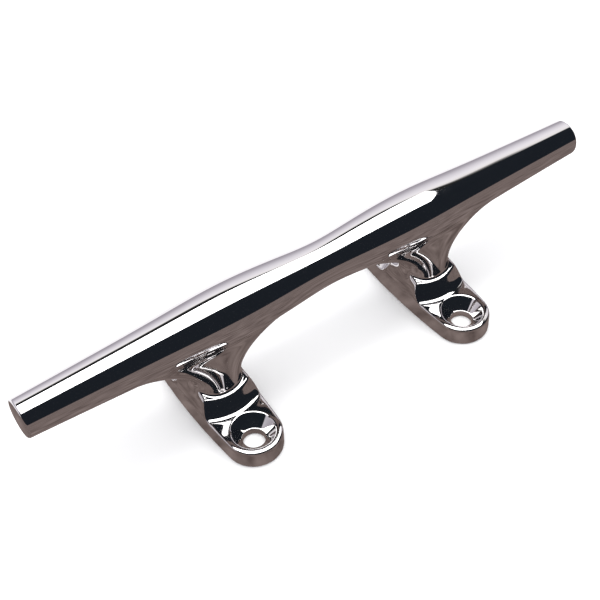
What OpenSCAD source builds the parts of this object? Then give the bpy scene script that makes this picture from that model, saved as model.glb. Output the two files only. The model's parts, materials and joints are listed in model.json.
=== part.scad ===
// Open base mooring cleat: a straight tapered horn on two flared legs, each leg
// on its own oval foot with two countersunk screw holes.
// Millimetres. +X runs along the horn, +Z is up and z = 0 is the deck.

/* [Horn] */
// Length of the horn over both tips
horn_length = 200; // [180:1:220]
// Height of the horn's axis above the deck
horn_axis_z = 36; // [34:0.1:40]
// Control radii of the horn, evenly spaced from its middle to its tip
horn_radii = [6.8, 7.95, 8.95, 9.1, 8.3, 7.55, 7, 6.45, 5.95]; // [5:0.05:10]
// Rounding of the edge of each end face
tip_round = 0.8; // [0.3:0.1:1.5]

/* [Feet] */
// Distance between the two legs' centre lines, along the horn
leg_spacing = 81; // [74:1:90]
// Distance between the two screws of one foot, across the horn
screw_spacing = 41; // [38:1:44]
// Greatest width of a foot, under the horn
foot_width = 20; // [19:0.1:22]
// Thickness of a foot at its screw pads
foot_height = 6.3; // [5.5:0.1:7]
// Radius of a foot's round ends
foot_end_r = 9; // [8.5:0.1:9.5]
// Radius of a foot's bulging sides
foot_side_r = 218; // [180:1:260]

/* [Screw holes] */
// Diameter of the clearance hole for a quarter inch screw
hole_d = 6.8; // [6.4:0.1:7.1]
// Rim diameter of the countersink
countersink_d = 13.8; // [12:0.1:14.5]
// Full angle of the countersink
countersink_angle = 82; // [82:8:90]

/* [Legs] */
// Distance from the leg's middle to the top edge of its riser
riser_y = 8.9; // [8.5:0.1:10]
// How far the riser's foot stands out past its top edge
riser_cove = 3.1; // [1.5:0.1:3.5]
// Height of the riser's top edge
riser_top_z = 11.3; // [10:0.1:12.5]
// Half width of the neck, along the horn
neck_w = 8; // [7:0.1:8.5]
// Half depth of the neck, across the horn
neck_depth = 6; // [5.5:0.1:7]
// Height at which the neck starts to flare into the horn
neck_z = 15.5; // [14:0.1:17]
// Reach of the flares along the horn, from the leg's centre
flare_reach = 33; // [28:0.5:36]
// Half angle of the horn's underside that the flares cover
flare_angle = 38; // [30:1:50]

/* [Hidden] */
$fn = 96;
steel = [0.80, 0.80, 0.82];
steel_dark = [0.72, 0.72, 0.75];

horn_half = horn_length / 2;
horn_steps = 40;
control_gap = horn_half / (len(horn_radii) - 1);
tip_steps = 4;

// Centre of a foot's round end, and where that end meets the bulging side
side_x = foot_width / 2 - foot_side_r;
end_y = sqrt(pow(foot_side_r - foot_end_r, 2) - side_x * side_x);
meet_y = end_y * foot_side_r / (foot_side_r - foot_end_r);

// Points on one flank of a leg's ring, and rings in each stretch of the leg
flank_steps = 28;
low_rings = 19;
flare_rings = 18;
seat_rings = 5;
ring_size = 2 * flank_steps;

cut = 1;

// Radius of the horn at a distance x from its middle: a smooth cubic curve
// drawn by the control radii.
function control(i) =
    let (last = len(horn_radii) - 1, j = abs(i))
    j > last ? 2 * horn_radii[last] - horn_radii[last - 1] : horn_radii[j];
function horn_r(x) =
    let (s = abs(x) / control_gap, i = floor(s), t = s - i)
    (pow(1 - t, 3) * control(i - 1)
        + (3 * pow(t, 3) - 6 * t * t + 4) * control(i)
        + (-3 * pow(t, 3) + 3 * t * t + 3 * t + 1) * control(i + 1)
        + pow(t, 3) * control(i + 2)) / 6;

function blend(a, b, t) = a + (b - a) * t;

// Half width of the foot's bulging side at y
function foot_w(y) = side_x + sqrt(foot_side_r * foot_side_r - y * y);

// How far down the riser a height lies: 1 at the foot, 0 at the top edge
function riser_drop(z) =
    min(1, max(0, (riser_top_z - z) / (riser_top_z - foot_height)));

// How far the riser's top edge has given way to the neck: 0 at the edge
function neck_share(z) = 1 - exp(-max(0, z - riser_top_z) / 1.6);

// Half depth of a leg's ring at height z: the leaning riser first, then the
// slope from its top edge back to the neck.
function leg_depth(z) =
    blend(riser_y, neck_depth, neck_share(z)) + riser_cove * pow(riser_drop(z), 1.3);

// How square the ends of a ring are: square where the riser stands on the
// foot and rounder towards the neck
function ring_power(z) = blend(3, 2.2, neck_share(z)) + 11 * pow(riser_drop(z), 2);

// Half width of a leg's ring at y: flush with the foot's side at the bottom
// and drawn in to the neck.
function leg_w(y, z) =
    blend(neck_w, foot_w(y) - 0.3, pow(riser_drop(z), 1.2));

// One flank point of the ring at height z; turn runs from -90 to 90 degrees
function ring_point(turn, z) =
    let (
        y = leg_depth(z) * sin(turn),
        power = ring_power(z),
        close = pow(max(0, 1 - pow(abs(sin(turn)), power)), 1 / power)
    )
    [leg_w(y, z) * close, y, z];

// Point and outward direction on the horn's underside. reach is the distance
// along the horn from the leg's centre, angle the turn from straight down.
function seat_point(leg_x, reach, angle) =
    let (r = horn_r(leg_x + reach))
    [reach, r * sin(angle), horn_axis_z - r * cos(angle)];
function seat_direction(turn, side, angle) =
    [side * cos(turn), sin(turn) * cos(angle), sin(turn) * sin(angle)];
function seat_normal(angle) = [0, sin(angle), -cos(angle)];

// Point on the flare between the neck and the horn's underside
function flare_point(leg_x, turn, side, t) =
    let (
        angle = flare_angle * sin(turn),
        low = ring_point(turn, neck_z),
        start = [side * low[0], low[1], low[2]],
        top = seat_point(leg_x, side * flare_reach * cos(turn), angle),
        out = seat_direction(turn, side, angle),
        lift = 4.2,
        pull = blend(2.2, 17, cos(turn)),
        a = start + [side * 2.2 * cos(turn), -0.12 * sin(turn) * lift, lift],
        b = top - pull * out + 0.13 * pull * seat_normal(angle)
    )
    pow(1 - t, 3) * start + 3 * pow(1 - t, 2) * t * a + 3 * (1 - t) * t * t * b
        + pow(t, 3) * top;

// Every turn of a ring: up one flank and back along the other
function flank_turn(i) = i < flank_steps ? -90 + 180 * i / flank_steps
    : 90 - 180 * (i - flank_steps) / flank_steps;
function flank_side(i) = i < flank_steps ? 1 : -1;

function leg_points(leg_x) = [
    for (k = [0:low_rings - 1], i = [0:ring_size - 1])
        let (
            z = blend(foot_height, neck_z, k / low_rings),
            p = ring_point(flank_turn(i), z)
        )
        [flank_side(i) * p[0], p[1], p[2]],
    for (k = [0:flare_rings], i = [0:ring_size - 1])
        flare_point(leg_x, flank_turn(i), flank_side(i), k / flare_rings),
    for (k = [1:seat_rings], i = [0:ring_size - 1])
        let (
            shrink = 1 - k / (seat_rings + 1),
            turn = flank_turn(i),
            reach = flank_side(i) * flare_reach * cos(turn) * shrink
        )
        seat_point(leg_x, reach, flare_angle * sin(turn) * shrink),
    seat_point(leg_x, 0, 0),
    [0, 0, foot_height]
];

function leg_faces() =
    let (
        rows = low_rings + flare_rings + 1 + seat_rings,
        crown = rows * ring_size,
        base = crown + 1,
        last = (rows - 1) * ring_size
    )
    [
        for (k = [0:rows - 2], i = [0:ring_size - 1])
            let (
                j = (i + 1) % ring_size,
                a = k * ring_size + i,
                b = k * ring_size + j
            )
            each [[a, b + ring_size, b], [a, a + ring_size, b + ring_size]],
        for (i = [0:ring_size - 1])
            let (j = (i + 1) % ring_size)
            each [[i, j, base], [last + j, last + i, crown]]
    ];

module foot_outline() {
    intersection() {
        translate([side_x, 0]) circle(r = foot_side_r, $fn = 720);
        translate([-side_x, 0]) circle(r = foot_side_r, $fn = 720);
        square([foot_width, 2 * meet_y], center = true);
    }
    for (side = [-1, 1])
        translate([0, side * end_y]) circle(r = foot_end_r);
}

module screw_hole() {
    slope = tan(countersink_angle / 2);
    sink = (countersink_d - hole_d) / 2 / slope;
    translate([0, 0, -cut]) cylinder(d = hole_d, h = foot_height + 2 * cut);
    translate([0, 0, foot_height - sink])
        cylinder(d1 = hole_d, d2 = countersink_d + 2 * cut * slope, h = sink + cut);
}

module foot() {
    color(steel_dark) difference() {
        linear_extrude(foot_height) foot_outline();
        for (side = [-1, 1])
            translate([0, side * screw_spacing / 2, 0]) screw_hole();
    }
}

module leg(leg_x) {
    color(steel) polyhedron(points = leg_points(leg_x), faces = leg_faces());
}

module horn() {
    half = [
        for (i = [0:horn_steps])
            let (x = (horn_half - tip_round) * i / horn_steps)
            [horn_r(x), x],
        for (i = [1:tip_steps])
            let (turn = 90 * i / tip_steps)
            [
                horn_r(horn_half - tip_round) - tip_round * (1 - cos(turn)),
                horn_half - tip_round * (1 - sin(turn))
            ]
    ];
    count = len(half);
    below = [for (i = [count - 1:-1:1]) [half[i][0], -half[i][1]]];
    color(steel) translate([0, 0, horn_axis_z]) rotate([0, 90, 0])
        rotate_extrude()
            polygon(concat([[0, -horn_half]], below, half, [[0, horn_half]]));
}

module left_leg() { translate([-leg_spacing / 2, 0, 0]) leg(-leg_spacing / 2); }
module right_leg() { translate([leg_spacing / 2, 0, 0]) leg(leg_spacing / 2); }
module left_foot() { translate([-leg_spacing / 2, 0, 0]) foot(); }
module right_foot() { translate([leg_spacing / 2, 0, 0]) foot(); }

horn();
left_leg();
right_leg();
left_foot();
right_foot();
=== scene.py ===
"""Open base mooring cleat in polished stainless steel.

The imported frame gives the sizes. The horn is a body of revolution made by a Geometry
Nodes tree. Each foot and leg is cut from one smooth casting field, so that every
fillet runs on without a seam.
"""

import json
import logging
import math
from dataclasses import dataclass
from enum import Enum
from typing import Callable

import bmesh
import bpy
import numpy as np
from mathutils import Matrix, Vector


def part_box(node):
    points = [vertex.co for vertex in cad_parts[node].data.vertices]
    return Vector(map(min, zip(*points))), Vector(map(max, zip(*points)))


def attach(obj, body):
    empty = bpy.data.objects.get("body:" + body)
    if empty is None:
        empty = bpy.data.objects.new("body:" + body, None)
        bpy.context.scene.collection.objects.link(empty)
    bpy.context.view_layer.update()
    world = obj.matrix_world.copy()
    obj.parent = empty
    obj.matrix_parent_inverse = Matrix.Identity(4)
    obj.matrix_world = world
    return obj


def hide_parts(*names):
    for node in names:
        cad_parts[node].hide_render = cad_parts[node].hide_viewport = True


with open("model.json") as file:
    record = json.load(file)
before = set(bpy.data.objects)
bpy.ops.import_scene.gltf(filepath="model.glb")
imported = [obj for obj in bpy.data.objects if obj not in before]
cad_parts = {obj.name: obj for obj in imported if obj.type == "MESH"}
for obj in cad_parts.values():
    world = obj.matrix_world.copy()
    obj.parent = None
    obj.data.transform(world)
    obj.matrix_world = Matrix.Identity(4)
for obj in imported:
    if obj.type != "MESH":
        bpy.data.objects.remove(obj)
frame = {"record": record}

LOG = logging.getLogger("cleat")
MM = 0.001
Field = Callable[[np.ndarray, np.ndarray, np.ndarray], np.ndarray]


class Hand(Enum):
    """Which end of the horn a leg or foot stands under."""

    LEFT = -1
    RIGHT = 1

    @property
    def prefix(self) -> str:
        """Start of the names of this end's nodes."""
        return self.name.lower()


def smooth_union(a: np.ndarray, b: np.ndarray, reach: float) -> np.ndarray:
    """Joins two distance fields with a fillet.

    Args:
        a: Distance to the first shape, negative inside it.
        b: Distance to the second shape.
        reach: Distance over which the fillet blends the two.

    Returns:
        Distance to the joined shape.
    """
    share = np.maximum(reach - np.abs(a - b), 0.0) / reach
    return np.minimum(a, b) - share**3 * reach / 6.0


def smooth_cut(a: np.ndarray, b: np.ndarray, reach: float) -> np.ndarray:
    """Keeps what two shapes share, with a rounded edge.

    Args:
        a: Distance to the first shape, negative inside it.
        b: Distance to the second shape.
        reach: Distance over which the edge is rounded.

    Returns:
        Distance to the shared shape.
    """
    return -smooth_union(-a, -b, reach)


@dataclass(frozen=True)
class HornShape:
    """Sizes of the horn, in millimetres."""

    length: float
    axis_z: float
    control_radii: tuple[float, ...] = (6.8, 7.95, 8.95, 9.1, 8.3, 7.55, 7.0, 6.45, 5.95)
    tip_round: float = 0.8

    @property
    def control_gap(self) -> float:
        """Distance between two control radii along the horn."""
        return self.length / 2 / (len(self.control_radii) - 1)

    def control(self, index: int) -> float:
        """Control radius at an index, carried on past the tip."""
        last = len(self.control_radii) - 1
        if index > last:
            return 2 * self.control_radii[last] - self.control_radii[last - 1]
        return self.control_radii[abs(index)]

    def radius(self, x: np.ndarray) -> np.ndarray:
        """Radius of the horn, a cubic curve drawn by the control radii.

        Args:
            x: Distance along the horn from its middle.

        Returns:
            The radius at each x.
        """
        place = np.abs(x) / self.control_gap
        total = np.zeros_like(place)
        for index in range(-1, len(self.control_radii) + 1):
            away = np.abs(place - index)
            weight = np.maximum(2 - away, 0) ** 3 - 4 * np.maximum(1 - away, 0) ** 3
            total += self.control(index) * weight / 6
        return total

    def distance(self, x: np.ndarray, y: np.ndarray, z: np.ndarray) -> np.ndarray:
        """Distance from the horn's skin, negative inside it."""
        return np.hypot(y, z - self.axis_z) - self.radius(x)


@dataclass(frozen=True)
class FootShape:
    """Sizes of an oval foot, in millimetres, about its own middle."""

    width: float
    length: float
    height: float
    screw_spacing: float
    hole_r: float
    end_r: float = 9.0
    sink_r: float = 6.9
    sink_angle: float = 82.0
    edge_round: float = 1.5
    base_round: float = 0.6
    rim_round: float = 0.5
    cone_over: float = 0.3

    @property
    def end_y(self) -> float:
        """Centre of a round end."""
        return self.length / 2 - self.end_r

    @property
    def side_r(self) -> float:
        """Radius of the bulging sides, which meet the round ends smoothly."""
        spare = self.width / 2 - self.end_r
        return (self.end_y**2 + (self.width / 2) ** 2 - self.end_r**2) / (2 * spare)

    def outline(self, x: np.ndarray, y: np.ndarray) -> np.ndarray:
        """Distance from the oval outline, seen from above.

        Args:
            x: Distance from the foot's middle, along the horn.
            y: Distance from the foot's middle, across the horn.

        Returns:
            Distance, negative inside the outline.
        """
        ax, ay = np.abs(x), np.abs(y)
        side_x = self.width / 2 - self.side_r
        side = np.hypot(ax - side_x, ay) - self.side_r
        end = np.hypot(ax, ay - self.end_y) - self.end_r
        on_side = ay * -side_x < self.end_y * (ax - side_x)
        return np.where(on_side, side, end)

    def screw_hole(self, x: np.ndarray, y: np.ndarray, z: np.ndarray) -> np.ndarray:
        """Distance from the drilled and countersunk holes.

        Args:
            x: Distance from the foot's middle, along the horn.
            y: Distance from the foot's middle, across the horn.
            z: Height above the deck.

        Returns:
            Distance, negative inside the holes.
        """
        away = np.hypot(x, np.abs(y) - self.screw_spacing / 2)
        bore = away - self.hole_r
        half = math.radians(self.sink_angle / 2)
        mouth = self.sink_r + np.minimum(z - self.height, self.cone_over) * math.tan(half)
        cone = (away - mouth) * math.cos(half)
        return smooth_union(bore, cone, self.rim_round)


@dataclass(frozen=True)
class LegShape:
    """Sizes of a leg, in millimetres, about its own middle."""

    riser_y: float = 8.9
    riser_lean: float = 2.9
    riser_sweep: float = 0.03
    riser_top: float = 11.3
    top_slope: float = 0.28
    riser_edge: float = 0.6
    cove: float = 3.2
    flank_slope: float = 0.42
    flank_ease: float = 1.6
    flank_start: float = 0.8
    neck_w: float = 8.0
    neck_y: float = 7.7
    neck_taper: float = 0.16
    neck_power: float = 2.3
    flare_power: float = 2.0
    neck_fillet: float = 1.2
    flare_z: float = 13.5
    flare_spread: float = 36.5
    flare_over: float = 0.5
    flare_limit: float = 0.985
    flare_reach: float = 38.0
    horn_fillet: float = 3.8
    fillet_fade: float = 22.0

    def riser(self, x: np.ndarray, y: np.ndarray, z: np.ndarray, floor_z: float) -> np.ndarray:
        """The slab of the foot, up to floor_z, with the riser standing on it.

        Args:
            x: Distance from the leg's middle, along the horn.
            y: Distance across the horn.
            z: Height above the deck.
            floor_z: Thickness of the foot at its screw pads.

        Returns:
            Distance, negative inside the solid.
        """
        ay = np.abs(y)
        low = np.clip((self.riser_top - z) / (self.riser_top - floor_z), -1, 1)
        wall = ay - self.riser_y - self.riser_lean * low + self.riser_sweep * x**2
        top = z - self.riser_top - self.top_slope * (self.riser_y - ay)
        block = smooth_cut(wall, top, self.riser_edge)
        return smooth_union(z - floor_z, block, self.cove)

    def flank(self, plan: np.ndarray, z: np.ndarray, floor_z: float) -> np.ndarray:
        """The foot's upright side below floor_z, leaning in above it.

        Args:
            plan: Distance from the foot's outline.
            z: Height above the deck.
            floor_z: Thickness of the foot at its screw pads.

        Returns:
            Distance, negative inside the flank.
        """
        over = z - floor_z - self.flank_start * self.flank_ease
        rise = (over + np.hypot(over, self.flank_ease)) / 2
        return (plan + self.flank_slope * rise) / math.hypot(1, self.flank_slope)

    def neck(self, x: np.ndarray, y: np.ndarray, z: np.ndarray, under: np.ndarray) -> np.ndarray:
        """The neck and its two flares, which run out along the horn's underside.

        Each level is a rounded block: half_x along the horn, half_y across it.

        Args:
            x: Distance from the leg's middle, along the horn.
            y: Distance across the horn.
            z: Height above the deck.
            under: Height of the horn's underside at each x.

        Returns:
            Distance, negative inside the neck.
        """
        rise = under + self.flare_over - self.flare_z
        climb = np.clip((z - self.flare_z) / rise, 0, self.flare_limit)
        arc = np.sqrt(1 - climb**2)
        half_x = self.neck_w + self.flare_spread * (1 - arc)
        growing = climb < self.flare_limit
        grow_x = np.where(growing, self.flare_spread * climb / arc / rise, 0)
        half_y = self.neck_y - self.neck_taper * (z - self.riser_top)
        u = np.maximum(np.abs(x), 1e-3) / half_x
        v = np.maximum(np.abs(y), 1e-3) / half_y
        power = self.neck_power + (self.flare_power - self.neck_power) * climb
        gauge = (u**power + v**power) ** (1 / power)
        slope_x = (u / gauge) ** (power - 1) / half_x
        slope_y = (v / gauge) ** (power - 1) / half_y
        slope_z = slope_x * u * grow_x - slope_y * v * self.neck_taper
        steep = np.sqrt(slope_x**2 + slope_y**2 + slope_z**2)
        return (gauge - 1) / steep


@dataclass(frozen=True)
class Casting:
    """The whole casting as one smooth field round the right-hand leg."""

    horn: HornShape
    foot: FootShape
    leg: LegShape
    leg_x: float

    def base(self, x: np.ndarray, y: np.ndarray, z: np.ndarray) -> np.ndarray:
        """Foot, riser and neck, before the horn joins them.

        Args:
            x: Distance along the horn from its middle.
            y: Distance across the horn.
            z: Height above the deck.

        Returns:
            Distance, negative inside them.
        """
        near = x - self.leg_x
        side = self.leg.flank(self.foot.outline(near, y), z, self.foot.height)
        riser = self.leg.riser(near, y, z, self.foot.height)
        solid = smooth_cut(side, riser, self.foot.edge_round)
        under = self.horn.axis_z - self.horn.radius(x)
        neck = self.leg.neck(near, y, z, under)
        solid = smooth_union(solid, neck, self.leg.neck_fillet)
        solid = smooth_cut(solid, -z, self.foot.base_round)
        return smooth_cut(solid, -self.foot.screw_hole(near, y, z), self.foot.rim_round)

    def whole(self, x: np.ndarray, y: np.ndarray, z: np.ndarray) -> np.ndarray:
        """Everything, faired into the horn by a fillet that dies out along the flares.

        Args:
            x: Distance along the horn from its middle.
            y: Distance across the horn.
            z: Height above the deck.

        Returns:
            Distance, negative inside the casting.
        """
        least = 0.03
        left = (self.leg.flare_reach - np.abs(x - self.leg_x)) / self.leg.fillet_fade
        left = np.clip(left, least, 1)
        fillet = self.leg.horn_fillet * left**2 * (3 - 2 * left)
        return smooth_union(self.base(x, y, z), self.horn.distance(x, y, z), fillet)

    def leg_skin(self, x: np.ndarray, y: np.ndarray, z: np.ndarray) -> np.ndarray:
        """The leg with its fairing, a thin shell where the horn fills it.

        Args:
            x: Distance along the horn from its middle.
            y: Distance across the horn.
            z: Height above the deck.

        Returns:
            Distance, negative inside the leg's metal.
        """
        sink, shell, lid_drop = 0.004, 0.6, 2.0
        inner = -(self.horn.distance(x, y, z) + shell)
        ends = np.abs(x - self.leg_x) - self.leg.flare_reach
        lid = z - self.horn.axis_z + lid_drop
        return np.maximum.reduce([self.whole(x, y, z) + sink, inner, ends, lid])


def gradient(field: Field, points: np.ndarray) -> np.ndarray:
    """Slope of a field at some points.

    Args:
        field: The distance field.
        points: One row for each point.

    Returns:
        One row for each point.
    """
    reach = 0.01
    columns = []
    for axis in range(3):
        shift = np.zeros(3)
        shift[axis] = reach
        ahead = field(*(points + shift).T)
        behind = field(*(points - shift).T)
        columns.append((ahead - behind) / (2 * reach))
    return np.stack(columns, axis=1)


class SurfaceNet:
    """Turns a distance field into a closed mesh whose points lie on its skin."""

    EDGES = [
        (a, b)
        for a in range(8)
        for b in range(8)
        if a < b and bin(a ^ b).count("1") == 1
    ]

    def __init__(self, field: Field, low: Vector, high: Vector, step: float) -> None:
        """Samples the field.

        Args:
            field: Distance field, negative inside the solid, in millimetres.
            low: Lowest corner of the space to search.
            high: Highest corner of the space to search.
            step: Spacing of the samples.
        """
        self.field = field
        self.low = np.array(low, dtype=float)
        self.step = step
        counts = np.ceil((np.array(high) - self.low) / step).astype(int) + 1
        axes = [self.low[i] + step * np.arange(counts[i]) for i in range(3)]
        self.values = field(*np.meshgrid(*axes, indexing="ij"))

    def corner(self, cells: np.ndarray, corner: int) -> tuple[np.ndarray, np.ndarray]:
        """Looks up one corner of each cell.

        Args:
            cells: Lowest corner of each cell, as grid numbers.
            corner: Which of the eight corners, one bit for each axis.

        Returns:
            The corner's offset from the lowest one, and the field there.
        """
        offset = np.array([corner & 1, corner >> 1 & 1, corner >> 2 & 1])
        place = cells + offset
        return offset, self.values[place[:, 0], place[:, 1], place[:, 2]]

    def build(self) -> tuple[np.ndarray, np.ndarray]:
        """Makes the mesh.

        Returns:
            Points, one row each, and faces, four point numbers each.
        """
        inside = self.values < 0
        count = np.zeros([n - 1 for n in inside.shape], dtype=int)
        for corner in range(8):
            i, j, k = corner & 1, corner >> 1 & 1, corner >> 2 & 1
            nx, ny, nz = count.shape
            count += inside[i : i + nx, j : j + ny, k : k + nz]
        cells = np.argwhere((count > 0) & (count < 8))
        number = np.full(count.shape, -1)
        number[tuple(cells.T)] = np.arange(len(cells))
        total, hits = np.zeros((len(cells), 3)), np.zeros(len(cells))
        for a, b in self.EDGES:
            place_a, value_a = self.corner(cells, a)
            place_b, value_b = self.corner(cells, b)
            cross = (value_a < 0) != (value_b < 0)
            share = np.where(cross, value_a / np.where(cross, value_a - value_b, 1), 0)
            total += cross[:, None] * (place_a + share[:, None] * (place_b - place_a))
            hits += cross
        points = self.low + self.step * (cells + total / hits[:, None])
        return self.settle(points), self.quads(inside, number)

    @staticmethod
    def quads(inside: np.ndarray, number: np.ndarray) -> np.ndarray:
        """Finds a face round every grid edge that crosses the skin.

        Args:
            inside: Whether each sample is inside the solid.
            number: Point number of each cell, -1 where it has none.

        Returns:
            Four point numbers for each face, turning outwards.
        """
        found = []
        for axis in range(3):
            p, q = (axis + 1) % 3, (axis + 2) % 3
            first = np.take(inside, range(inside.shape[axis] - 1), axis)
            second = np.take(inside, range(1, inside.shape[axis]), axis)
            place = np.argwhere(first != second)
            near = [number.shape[p], number.shape[q]]
            keep = (
                (place[:, p] > 0) & (place[:, p] < near[0])
                & (place[:, q] > 0) & (place[:, q] < near[1])
            )
            place = place[keep]
            ring = []
            for back_p, back_q in ((1, 1), (0, 1), (0, 0), (1, 0)):
                cell = place.copy()
                cell[:, p] -= back_p
                cell[:, q] -= back_q
                ring.append(number[tuple(cell.T)])
            face = np.stack(ring, axis=1)
            outward = first[tuple(place.T)]
            face[~outward] = face[~outward][:, ::-1]
            found.append(face)
        return np.concatenate(found)

    def settle(self, points: np.ndarray) -> np.ndarray:
        """Moves points onto the skin.

        Args:
            points: One row for each point.

        Returns:
            The points after a few short steps down the field's slope.
        """
        rounds, flattest, longest = 5, 1e-4, 0.4
        for _ in range(rounds):
            slope = gradient(self.field, points)
            steep = np.maximum((slope**2).sum(axis=1), flattest)
            move = -(self.field(*points.T) / steep)[:, None] * slope
            length = np.linalg.norm(move, axis=1, keepdims=True)
            limit = longest * self.step
            points = points + move * np.minimum(1, limit / np.maximum(length, 1e-9))
        return points


def shaded_mesh(
    name: str, points: np.ndarray, faces: np.ndarray, cuts: list[tuple[float, bool]], field: Field
) -> bpy.types.Mesh:
    """Makes a mesh cut at level planes and shaded by the field's own slope.

    Args:
        name: Name of the mesh.
        points: Points in millimetres.
        faces: Point numbers of each face.
        cuts: Heights to cut at, each with True to keep what is above it.
        field: Field whose slope gives the skin's normals.

    Returns:
        The closed mesh, in metres.
    """
    mesh = bpy.data.meshes.new(name)
    mesh.from_pydata(points.tolist(), [], faces.tolist())
    body = bmesh.new()
    body.from_mesh(mesh)
    caps = []
    for height, keep_above in cuts:
        geometry = body.verts[:] + body.edges[:] + body.faces[:]
        result = bmesh.ops.bisect_plane(
            body,
            geom=geometry,
            dist=1e-5,
            plane_co=(0, 0, height),
            plane_no=(0, 0, 1),
            clear_outer=not keep_above,
            clear_inner=keep_above,
        )
        rim = [e for e in result["geom_cut"] if isinstance(e, bmesh.types.BMEdge)]
        rim = [e for e in rim if e.is_valid and e.is_boundary]
        filled = bmesh.ops.holes_fill(body, edges=rim, sides=0)
        caps.append(height)
        LOG.info("%s cut at %.2f mm with %d cap faces", name, height, len(filled["faces"]))
    for face in body.faces:
        face.smooth = True
    body.to_mesh(mesh)
    body.free()
    normals = loop_normals(mesh, field, caps)
    mesh.transform(Matrix.Scale(MM, 4))
    mesh.normals_split_custom_set(normals.tolist())
    return mesh


def loop_normals(mesh: bpy.types.Mesh, field: Field, caps: list[float]) -> np.ndarray:
    """Normal of every face corner: the field's slope, or flat on a cap.

    Args:
        mesh: Mesh in millimetres.
        field: Distance field of its skin.
        caps: Heights of its flat caps.

    Returns:
        One row for each face corner.
    """
    points = np.empty(len(mesh.vertices) * 3)
    mesh.vertices.foreach_get("co", points)
    points = points.reshape(-1, 3)
    slope = gradient(field, points)
    slope /= np.maximum(np.linalg.norm(slope, axis=1, keepdims=True), 1e-9)
    level_match = 1e-3
    corner = np.empty(len(mesh.loops), dtype=int)
    mesh.loops.foreach_get("vertex_index", corner)
    normals = slope[corner]
    flat = np.empty(len(mesh.polygons) * 3)
    mesh.polygons.foreach_get("normal", flat)
    flat = flat.reshape(-1, 3)
    starts = np.empty(len(mesh.polygons), dtype=int)
    sizes = np.empty(len(mesh.polygons), dtype=int)
    mesh.polygons.foreach_get("loop_start", starts)
    mesh.polygons.foreach_get("loop_total", sizes)
    owner = np.repeat(np.arange(len(starts)), sizes)
    level = points[corner][:, 2]
    on_cap = np.zeros(len(starts), dtype=bool)
    for height in caps:
        near = np.abs(level - height) < level_match
        on_cap |= np.bincount(owner, near, len(starts)) == sizes
    cap_corner = on_cap[owner]
    normals[cap_corner] = flat[owner][cap_corner]
    return normals


class TreeBuilder:
    """Short ways to add linked nodes to a node tree."""

    def __init__(self, tree: bpy.types.NodeTree) -> None:
        """Starts with an empty tree.

        Args:
            tree: Tree to fill.
        """
        self.tree = tree
        tree.nodes.clear()

    def add(self, kind: str, **settings: object) -> bpy.types.Node:
        """Adds a node and sets its properties.

        Args:
            kind: Type name of the node.
            **settings: Properties to set on it.

        Returns:
            The node.
        """
        made = self.tree.nodes.new(kind)
        for name, value in settings.items():
            setattr(made, name, value)
        return made

    def feed(self, socket: bpy.types.NodeSocket, value: object) -> None:
        """Links a socket to a value's socket, or sets it.

        Args:
            socket: Input to feed.
            value: Another node's output, or a plain value.
        """
        if isinstance(value, bpy.types.NodeSocket):
            self.tree.links.new(value, socket)
        else:
            socket.default_value = value

    def math(self, operation: str, a: object, b: object = 0.0) -> bpy.types.NodeSocket:
        """Adds a math node.

        Args:
            operation: What it works out.
            a: First value or socket.
            b: Second value or socket.

        Returns:
            Its result.
        """
        made = self.add("ShaderNodeMath", operation=operation)
        self.feed(made.inputs[0], a)
        self.feed(made.inputs[1], b)
        return made.outputs[0]

    def clamp(self, value: object, low: float, high: float) -> bpy.types.NodeSocket:
        """Keeps a value within two limits."""
        return self.math("MINIMUM", self.math("MAXIMUM", value, low), high)

    def noise(self, vector: object, scale: float, detail: float = 3.0) -> bpy.types.NodeSocket:
        """Adds a noise texture.

        Args:
            vector: Place to read it at.
            scale: How fine the noise is.
            detail: How many finer layers it has.

        Returns:
            Its value.
        """
        made = self.add("ShaderNodeTexNoise")
        self.feed(made.inputs["Vector"], vector)
        made.inputs["Scale"].default_value = scale
        made.inputs["Detail"].default_value = detail
        return made.outputs["Fac"]

    def spread(self, value: object, low: float, high: float) -> bpy.types.NodeSocket:
        """Maps a noise value's usual range onto another.

        Args:
            value: Value of a noise texture.
            low: Result at the bottom of the usual range.
            high: Result at its top.

        Returns:
            The mapped value.
        """
        made = self.add("ShaderNodeMapRange")
        self.feed(made.inputs["Value"], value)
        made.inputs["From Min"].default_value = 0.3
        made.inputs["From Max"].default_value = 0.7
        made.inputs["To Min"].default_value = low
        made.inputs["To Max"].default_value = high
        return made.outputs["Result"]

    def blend(self, factor: object, a: object, b: object) -> bpy.types.NodeSocket:
        """Blends two colours.

        Args:
            factor: Share of the second colour.
            a: First colour.
            b: Second colour.

        Returns:
            The blend.
        """
        made = self.add("ShaderNodeMix", data_type="RGBA")
        self.feed(made.inputs["Factor"], factor)
        self.feed(made.inputs["A"], a)
        self.feed(made.inputs["B"], b)
        return made.outputs["Result"]


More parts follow.
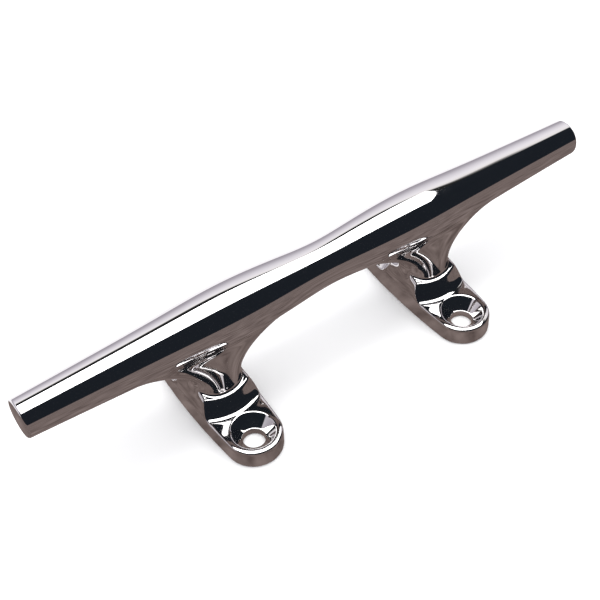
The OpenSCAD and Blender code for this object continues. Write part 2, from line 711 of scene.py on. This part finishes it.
class HornTree:
    """The Geometry Nodes tree that turns the horn about its axis."""

    def __init__(self, shape: HornShape, finish: bpy.types.Material) -> None:
        """Builds the tree.

        Args:
            shape: Sizes of the horn.
            finish: Material of the horn.
        """
        self.shape = shape
        self.tree = bpy.data.node_groups.new("horn_turning", "GeometryNodeTree")
        self.values: dict[str, float] = {
            "Length": shape.length * MM,
            "Axis height": shape.axis_z * MM,
            "Tip rounding": shape.tip_round * MM,
            "Rings": 321,
            "Sides": 160,
        }
        for index, radius in enumerate(shape.control_radii):
            self.values[f"Radius {index}"] = radius * MM
        self.sockets = {}
        face = self.tree.interface
        for name, value in self.values.items():
            kind = "NodeSocketInt" if isinstance(value, int) else "NodeSocketFloat"
            self.sockets[name] = face.new_socket(name, in_out="INPUT", socket_type=kind)
        face.new_socket("Geometry", in_out="OUTPUT", socket_type="NodeSocketGeometry")
        self.fill(finish)

    def radius(self, build: TreeBuilder, along: object, given: dict) -> bpy.types.NodeSocket:
        """Adds the nodes for the horn's radius.

        Args:
            build: Builder of the tree.
            along: Distance from the horn's middle, along its axis.
            given: The tree's inputs by name.

        Returns:
            The radius.
        """
        last = len(self.shape.control_radii) - 1
        gap = build.math("DIVIDE", given["Length"], 2.0 * last)
        place = build.math("DIVIDE", build.math("ABSOLUTE", along), gap)
        past = build.math("MULTIPLY", given[f"Radius {last}"], 2.0)
        past = build.math("SUBTRACT", past, given[f"Radius {last - 1}"])
        total: object = 0.0
        for index in range(-1, last + 2):
            away = build.math("ABSOLUTE", build.math("SUBTRACT", place, float(index)))
            wide = build.math("MAXIMUM", build.math("SUBTRACT", 2.0, away), 0.0)
            slim = build.math("MAXIMUM", build.math("SUBTRACT", 1.0, away), 0.0)
            wide = build.math("POWER", wide, 3.0)
            slim = build.math("MULTIPLY", build.math("POWER", slim, 3.0), 4.0)
            weight = build.math("DIVIDE", build.math("SUBTRACT", wide, slim), 6.0)
            control = past if index > last else given[f"Radius {abs(index)}"]
            total = build.math("ADD", total, build.math("MULTIPLY", weight, control))
        return total

    def fill(self, finish: bpy.types.Material) -> None:
        """Adds every node, from the flat grid to the finished bar."""
        build = TreeBuilder(self.tree)
        given = {s.name: s for s in build.add("NodeGroupInput").outputs if s.name}
        grid = build.add("GeometryNodeMeshGrid")
        build.feed(grid.inputs["Size X"], 1.0)
        build.feed(grid.inputs["Size Y"], 1.0)
        build.feed(grid.inputs["Vertices X"], given["Rings"])
        build.feed(grid.inputs["Vertices Y"], build.math("ADD", given["Sides"], 1.0))
        split = build.add("ShaderNodeSeparateXYZ")
        build.feed(split.inputs[0], build.add("GeometryNodeInputPosition").outputs[0])
        across = build.math("MULTIPLY", split.outputs["X"], 2.0)
        rows = build.math("SUBTRACT", given["Rings"], 1.0)
        room = build.math("SUBTRACT", 1.0, build.math("DIVIDE", 2.0, rows))
        spaced = build.clamp(build.math("DIVIDE", across, room), -1.0, 1.0)
        turn = build.math("SINE", build.math("MULTIPLY", spaced, math.pi / 2))
        half = build.math("DIVIDE", given["Length"], 2.0)
        along = build.math("MULTIPLY", turn, half)
        radius = self.radius(build, along, given)
        rounding = given["Tip rounding"]
        over = build.math("SUBTRACT", build.math("ABSOLUTE", along), half)
        over = build.math("MAXIMUM", build.math("ADD", over, rounding), 0.0)
        square = build.math("MULTIPLY", rounding, rounding)
        rest = build.math("SUBTRACT", square, build.math("MULTIPLY", over, over))
        rest = build.math("SQRT", build.math("MAXIMUM", rest, 0.0))
        radius = build.math("SUBTRACT", radius, build.math("SUBTRACT", rounding, rest))
        edge = build.math("GREATER_THAN", build.math("ABSOLUTE", across), 0.99999)
        radius = build.math("MULTIPLY", radius, build.math("SUBTRACT", 1.0, edge))
        angle = build.math("MULTIPLY", split.outputs["Y"], 2 * math.pi)
        place = build.add("ShaderNodeCombineXYZ")
        build.feed(place.inputs["X"], along)
        side = build.math("MULTIPLY", build.math("SINE", angle), radius)
        build.feed(place.inputs["Y"], side)
        rise = build.math("MULTIPLY", build.math("COSINE", angle), radius)
        build.feed(place.inputs["Z"], build.math("ADD", rise, given["Axis height"]))
        put = build.add("GeometryNodeSetPosition")
        build.feed(put.inputs["Geometry"], grid.outputs["Mesh"])
        build.feed(put.inputs["Position"], place.outputs[0])
        merge = build.add("GeometryNodeMergeByDistance")
        build.feed(merge.inputs["Geometry"], put.outputs["Geometry"])
        build.feed(merge.inputs["Distance"], 1e-6)
        smooth = build.add("GeometryNodeSetShadeSmooth")
        build.feed(smooth.inputs["Geometry"], merge.outputs["Geometry"])
        real = build.add("GeometryNodeRealizeInstances")
        build.feed(real.inputs["Geometry"], smooth.outputs["Geometry"])
        dress = build.add("GeometryNodeSetMaterial")
        build.feed(dress.inputs["Geometry"], real.outputs["Geometry"])
        dress.inputs["Material"].default_value = finish
        build.feed(build.add("NodeGroupOutput").inputs["Geometry"], dress.outputs["Geometry"])

    def bake(self, name: str) -> bpy.types.Mesh:
        """Runs the tree.

        Args:
            name: Name of the mesh.

        Returns:
            The tree's result as a plain mesh.
        """
        carrier = bpy.data.objects.new(name, bpy.data.meshes.new(name))
        bpy.context.scene.collection.objects.link(carrier)
        live = carrier.modifiers.new("turning", "NODES")
        live.node_group = self.tree
        for label, value in self.values.items():
            live[self.sockets[label].identifier] = value
        graph = bpy.context.evaluated_depsgraph_get()
        mesh = bpy.data.meshes.new_from_object(carrier.evaluated_get(graph))
        bpy.data.objects.remove(carrier)
        mesh.name = name
        return mesh


@dataclass(frozen=True)
class PolishedSteel:
    """A mirror polish on cast stainless steel."""

    name: str
    bright: tuple[float, float, float]
    dull: tuple[float, float, float]
    roughness: tuple[float, float]
    ripple: float
    ripple_scale: float
    grain: float

    def build(self) -> bpy.types.Material:
        """Makes the node material.

        Returns:
            The material: metal with faint smudges, ripples and polishing lines.
        """
        made = bpy.data.materials.new(self.name)
        made.use_nodes = True
        build = TreeBuilder(made.node_tree)
        place = build.add("ShaderNodeTexCoord").outputs["Object"]
        shader = build.add("ShaderNodeBsdfPrincipled")
        shader.inputs["Metallic"].default_value = 1.0
        smudge = build.spread(build.noise(place, 70.0, 4.0), 0.0, 1.0)
        tint = build.blend(smudge, (*self.bright, 1.0), (*self.dull, 1.0))
        build.feed(shader.inputs["Base Color"], tint)
        wipe = build.add("ShaderNodeMapping")
        wipe.inputs["Scale"].default_value = (30.0, 900.0, 900.0)
        build.feed(wipe.inputs["Vector"], place)
        lines = build.noise(wipe.outputs[0], 1.0, 2.0)
        rough = build.spread(build.noise(place, 160.0, 3.0), *self.roughness)
        rough = build.math("ADD", rough, build.spread(lines, 0.0, self.grain))
        build.feed(shader.inputs["Roughness"], rough)
        ripple = build.add("ShaderNodeBump")
        ripple.inputs["Strength"].default_value = 1.0
        ripple.inputs["Distance"].default_value = self.ripple * MM
        build.feed(ripple.inputs["Height"], build.noise(place, self.ripple_scale, 1.0))
        build.feed(shader.inputs["Normal"], ripple.outputs["Normal"])
        out = build.add("ShaderNodeOutputMaterial")
        build.feed(out.inputs["Surface"], shader.outputs[0])
        return made


@dataclass(frozen=True)
class Studio:
    """A pale floor, a softbox overhead and a dim room round it."""

    floor_size: float = 6.0
    box_height: float = 1.1
    box_reach_x: float = 0.72
    box_near: float = -0.40
    box_far: float = 0.47
    box_power: float = 3.4

    def floor(self) -> None:
        """Adds the floor: pale to look at, with a painted reflection for glossy rays, a dim brown
        glow in front and a white glow behind.
        """
        bpy.ops.mesh.primitive_plane_add(size=self.floor_size, location=(0, 0, -0.0002))
        floor = bpy.context.active_object
        floor.name = "studio_floor"
        made = bpy.data.materials.new("studio_floor")
        made.use_nodes = True
        build = TreeBuilder(made.node_tree)
        place = build.add("ShaderNodeTexCoord").outputs["Object"]
        split = build.add("ShaderNodeSeparateXYZ")
        build.feed(split.inputs[0], place)
        paper = build.add("ShaderNodeBsdfDiffuse")
        speck = build.spread(build.noise(place, 6.0), 0.0, 1.0)
        tone = build.blend(speck, (0.86, 0.86, 0.87, 1), (0.89, 0.89, 0.89, 1))
        build.feed(paper.inputs["Color"], tone)
        # Painted reflection: a mottled dark brown glow that the floor shows only in reflections, in
        # front of the cleat.
        mottle = build.spread(build.noise(place, 120.0, 6.0), 0.0, 1.0)
        painted_reflection_tone = build.blend(mottle, (0.11, 0.082, 0.076, 1), (0.27, 0.215, 0.20, 1))
        dark_reflection_glow = build.add("ShaderNodeEmission")
        build.feed(dark_reflection_glow.inputs["Color"], painted_reflection_tone)
        # Painted reflection: a white glow that the floor shows only in reflections, behind the
        # cleat.
        bright_reflection_glow = build.add("ShaderNodeEmission")
        bright_reflection_glow.inputs["Color"].default_value = (1.0, 0.98, 1.0, 1.0)
        bright_reflection_glow.inputs["Strength"].default_value = 1.1
        behind = build.math("GREATER_THAN", split.outputs["Y"], 0.05)
        seen = build.add("ShaderNodeMixShader")
        build.feed(seen.inputs[0], behind)
        build.feed(seen.inputs[1], dark_reflection_glow.outputs[0])
        build.feed(seen.inputs[2], bright_reflection_glow.outputs[0])
        # Glossy rays see the painted reflection glow, all other rays see the pale floor.
        path = build.add("ShaderNodeLightPath")
        choose = build.add("ShaderNodeMixShader")
        build.feed(choose.inputs[0], path.outputs["Is Glossy Ray"])
        build.feed(choose.inputs[1], paper.outputs[0])
        build.feed(choose.inputs[2], seen.outputs[0])
        out = build.add("ShaderNodeOutputMaterial")
        build.feed(out.inputs["Surface"], choose.outputs[0])
        floor.data.materials.append(made)

    def softbox(self) -> None:
        """Adds the overhead softbox as a rectangular area light."""
        data = bpy.data.lights.new("softbox", "AREA")
        data.shape = "RECTANGLE"
        data.size = 2 * self.box_reach_x * self.box_height
        data.size_y = (self.box_far - self.box_near) * self.box_height
        area = data.size * data.size_y
        data.energy = self.box_power * math.pi * area
        lamp = bpy.data.objects.new("softbox", data)
        middle = (self.box_far + self.box_near) / 2 * self.box_height
        lamp.location = (0.0, middle, self.box_height)
        bpy.context.scene.collection.objects.link(lamp)

    def room(self) -> None:
        """Sets the room: pale to look at, dark in front and grey behind in reflections."""
        world = bpy.data.worlds.new("room")
        bpy.context.scene.world = world
        world.use_nodes = True
        build = TreeBuilder(world.node_tree)
        split = build.add("ShaderNodeSeparateXYZ")
        build.feed(split.inputs[0], build.add("ShaderNodeTexCoord").outputs["Generated"])
        rise = build.add("ShaderNodeMapRange")
        build.feed(rise.inputs["Value"], split.outputs["Z"])
        rise.inputs["From Min"].default_value = -0.5
        rise.inputs["From Max"].default_value = 1.0
        wall = build.add("ShaderNodeValToRGB")
        build.feed(wall.inputs["Fac"], rise.outputs["Result"])
        steps = (
            (0.00, (1.00, 0.97, 1.00)),
            (0.20, (0.90, 0.86, 0.90)),
            (0.34, (0.36, 0.33, 0.37)),
            (0.50, (0.48, 0.45, 0.50)),
            (0.69, (0.80, 0.77, 0.82)),
            (0.80, (0.98, 0.95, 0.98)),
            (0.835, (0.95, 0.92, 0.90)),
            (0.85, (0.02, 0.02, 0.02)),
        )
        stops = wall.color_ramp.elements
        stops[0].position, stops[0].color = steps[0][0], (*steps[0][1], 1)
        stops[1].position, stops[1].color = steps[-1][0], (*steps[-1][1], 1)
        for position, colour in steps[1:-1]:
            stops.new(position).color = (*colour, 1)
        behind = build.add("ShaderNodeMapRange")
        build.feed(behind.inputs["Value"], split.outputs["Y"])
        behind.inputs["From Min"].default_value = 0.0
        behind.inputs["From Max"].default_value = 0.06
        dark = (0.012, 0.015, 0.020, 1.0)
        seen = build.blend(behind.outputs["Result"], dark, wall.outputs["Color"])
        path = build.add("ShaderNodeLightPath")
        plain = build.blend(path.outputs["Is Glossy Ray"], (0.80, 0.80, 0.81, 1.0), seen)
        light = build.add("ShaderNodeBackground")
        build.feed(light.inputs["Color"], plain)
        out = build.add("ShaderNodeOutputWorld")
        build.feed(out.inputs["Surface"], light.outputs[0])

    def build(self) -> None:
        """Adds the whole studio and shows colours as they are."""
        self.floor()
        self.softbox()
        self.room()
        view = bpy.context.scene.view_settings
        view.view_transform = "Standard"


@dataclass(frozen=True)
class Camera:
    """The camera: where it looks from, its turn and its lens."""

    azimuth: float = -36.21
    elevation: float = 47.33
    roll: float = -0.20
    distance: float = 0.37523
    aside: tuple[float, float] = (0.00398, 0.00862)
    sensor: float = 36.0
    lens: float = 69.69
    shift: tuple[float, float] = (-0.06033, 0.02383)

    def build(self) -> None:
        """Adds the camera and makes it the scene's."""
        data = bpy.data.cameras.new("camera")
        data.sensor_width = self.sensor
        data.lens = self.lens
        data.shift_x, data.shift_y = self.shift
        data.clip_start = 0.01
        az, el = math.radians(self.azimuth), math.radians(self.elevation)
        back = Vector((math.sin(az) * math.cos(el), -math.cos(az) * math.cos(el), math.sin(el)))
        right = Vector((math.cos(az), math.sin(az), 0.0))
        above = back.cross(right)
        lean = math.radians(self.roll)
        side = math.cos(lean) * right + math.sin(lean) * above
        top = -math.sin(lean) * right + math.cos(lean) * above
        place = back * self.distance + side * self.aside[0] + top * self.aside[1]
        turn = Matrix((side, top, back)).transposed().to_4x4()
        camera = bpy.data.objects.new("camera", data)
        camera.matrix_world = Matrix.Translation(place) @ turn
        bpy.context.scene.collection.objects.link(camera)
        bpy.context.scene.camera = camera


class Cleat:
    """The whole cleat: its horn, legs and feet."""

    FOOT_TOP = 0.05
    STEP = 0.4
    MARGIN = 1.5
    FOOT_BELOW = 1.2
    FOOT_ABOVE = 2.5
    LEG_ROOM = 3.0
    LEG_TOP_DROP = 1.0

    def __init__(self) -> None:
        """Reads the sizes from the frame and makes the finishes."""
        record = frame["record"]
        screws = next(m for m in record["mounts"] if m["name"] == "deck_screws")["dims"]
        low, high = (np.array(c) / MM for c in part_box("right_foot"))
        horn_low, horn_high = (np.array(c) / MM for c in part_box("horn"))
        self.horn = HornShape(
            length=round(horn_high[0] - horn_low[0], 2),
            axis_z=round((horn_high[2] + horn_low[2]) / 2, 2),
        )
        self.foot = FootShape(
            width=round(high[0] - low[0], 2),
            length=round(high[1] - low[1], 2),
            height=round(high[2], 2),
            screw_spacing=screws["spacing_y_mm"],
            hole_r=screws["hole_r_mm"],
        )
        self.leg = LegShape()
        self.casting = Casting(self.horn, self.foot, self.leg, screws["spacing_x_mm"] / 2)
        self.horn_finish = PolishedSteel(
            "horn_polish", (0.86, 0.85, 0.86), (0.82, 0.81, 0.82), (0.015, 0.035), 0.004, 90.0, 0.015
        ).build()
        self.cast_finish = PolishedSteel(
            "casting_polish", (0.84, 0.83, 0.83), (0.76, 0.74, 0.74), (0.02, 0.06), 0.02, 210.0, 0.02
        ).build()

    def place(self, mesh: bpy.types.Mesh, node: str, slot: str, finish: bpy.types.Material) -> None:
        """Shows a mesh in a node's stead.

        Args:
            mesh: The finished mesh.
            node: Node that it stands for.
            slot: Material slot of the record. Not used.
            finish: Its material.
        """
        mesh.materials.clear()
        mesh.materials.append(finish)
        piece = bpy.data.objects.new(f"{node}_polished", mesh)
        bpy.context.scene.collection.objects.link(piece)
        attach(piece, "root")
        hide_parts(node)
        LOG.info("%s: %d faces", piece.name, len(mesh.polygons))

    def build_horn(self) -> None:
        """Makes the horn."""
        mesh = HornTree(self.horn, self.horn_finish).bake("horn_polished")
        self.place(mesh, "horn", "horn_steel", self.horn_finish)

    def build_stands(self) -> None:
        """Makes both legs and both feet."""
        x, seam = self.casting.leg_x, self.foot.height + self.FOOT_TOP
        reach_x = self.foot.width / 2 + self.MARGIN
        reach_y = self.foot.length / 2 + self.MARGIN
        foot_net = SurfaceNet(
            self.casting.whole,
            Vector((x - reach_x, -reach_y, -self.FOOT_BELOW)),
            Vector((x + reach_x, reach_y, seam + self.FOOT_ABOVE)),
            self.STEP,
        )
        arm = self.leg.flare_reach + self.MARGIN
        deep = self.leg.riser_y + self.leg.riser_lean + self.leg.cove + self.LEG_ROOM
        leg_net = SurfaceNet(
            self.casting.leg_skin,
            Vector((x - arm, -deep, seam - self.MARGIN)),
            Vector((x + arm, deep, self.horn.axis_z - self.LEG_TOP_DROP)),
            self.STEP,
        )
        foot = shaded_mesh("foot", *foot_net.build(), [(seam, False)], self.casting.whole)
        leg = shaded_mesh("leg", *leg_net.build(), [(seam, True)], self.casting.leg_skin)
        for hand in Hand:
            for mesh, part in ((foot, "foot"), (leg, "leg")):
                shown = mesh.copy()
                if hand is Hand.LEFT:
                    shown = mirrored(mesh)
                self.place(shown, f"{hand.prefix}_{part}", f"{part}_steel", self.cast_finish)


def mirrored(mesh: bpy.types.Mesh) -> bpy.types.Mesh:
    """Copies a mesh to the other end of the horn.

    Args:
        mesh: Mesh at the right-hand end.

    Returns:
        Its mirror image, with its faces still outwards and its shading kept.
    """
    other = mesh.copy()
    normals = np.empty(len(mesh.loops) * 3, dtype=np.float32)
    mesh.corner_normals.foreach_get("vector", normals)
    normals = normals.reshape(-1, 3) * (-1, 1, 1)
    starts = [p.loop_start for p in mesh.polygons]
    sizes = [p.loop_total for p in mesh.polygons]
    other.transform(Matrix.Scale(-1, 4, (1, 0, 0)))
    other.flip_normals()
    turned = np.empty_like(normals)
    for start, size in zip(starts, sizes):
        turned[start] = normals[start]
        turned[start + 1 : start + size] = normals[start + 1 : start + size][::-1]
    other.normals_split_custom_set(turned.tolist())
    return other


def main() -> None:
    """Builds the cleat, its studio and its camera."""
    logging.basicConfig(level=logging.INFO, format="%(name)s: %(message)s")
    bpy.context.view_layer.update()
    cleat = Cleat()
    cleat.build_horn()
    cleat.build_stands()
    Studio().build()
    Camera().build()


if __name__ == "__main__":
    main()
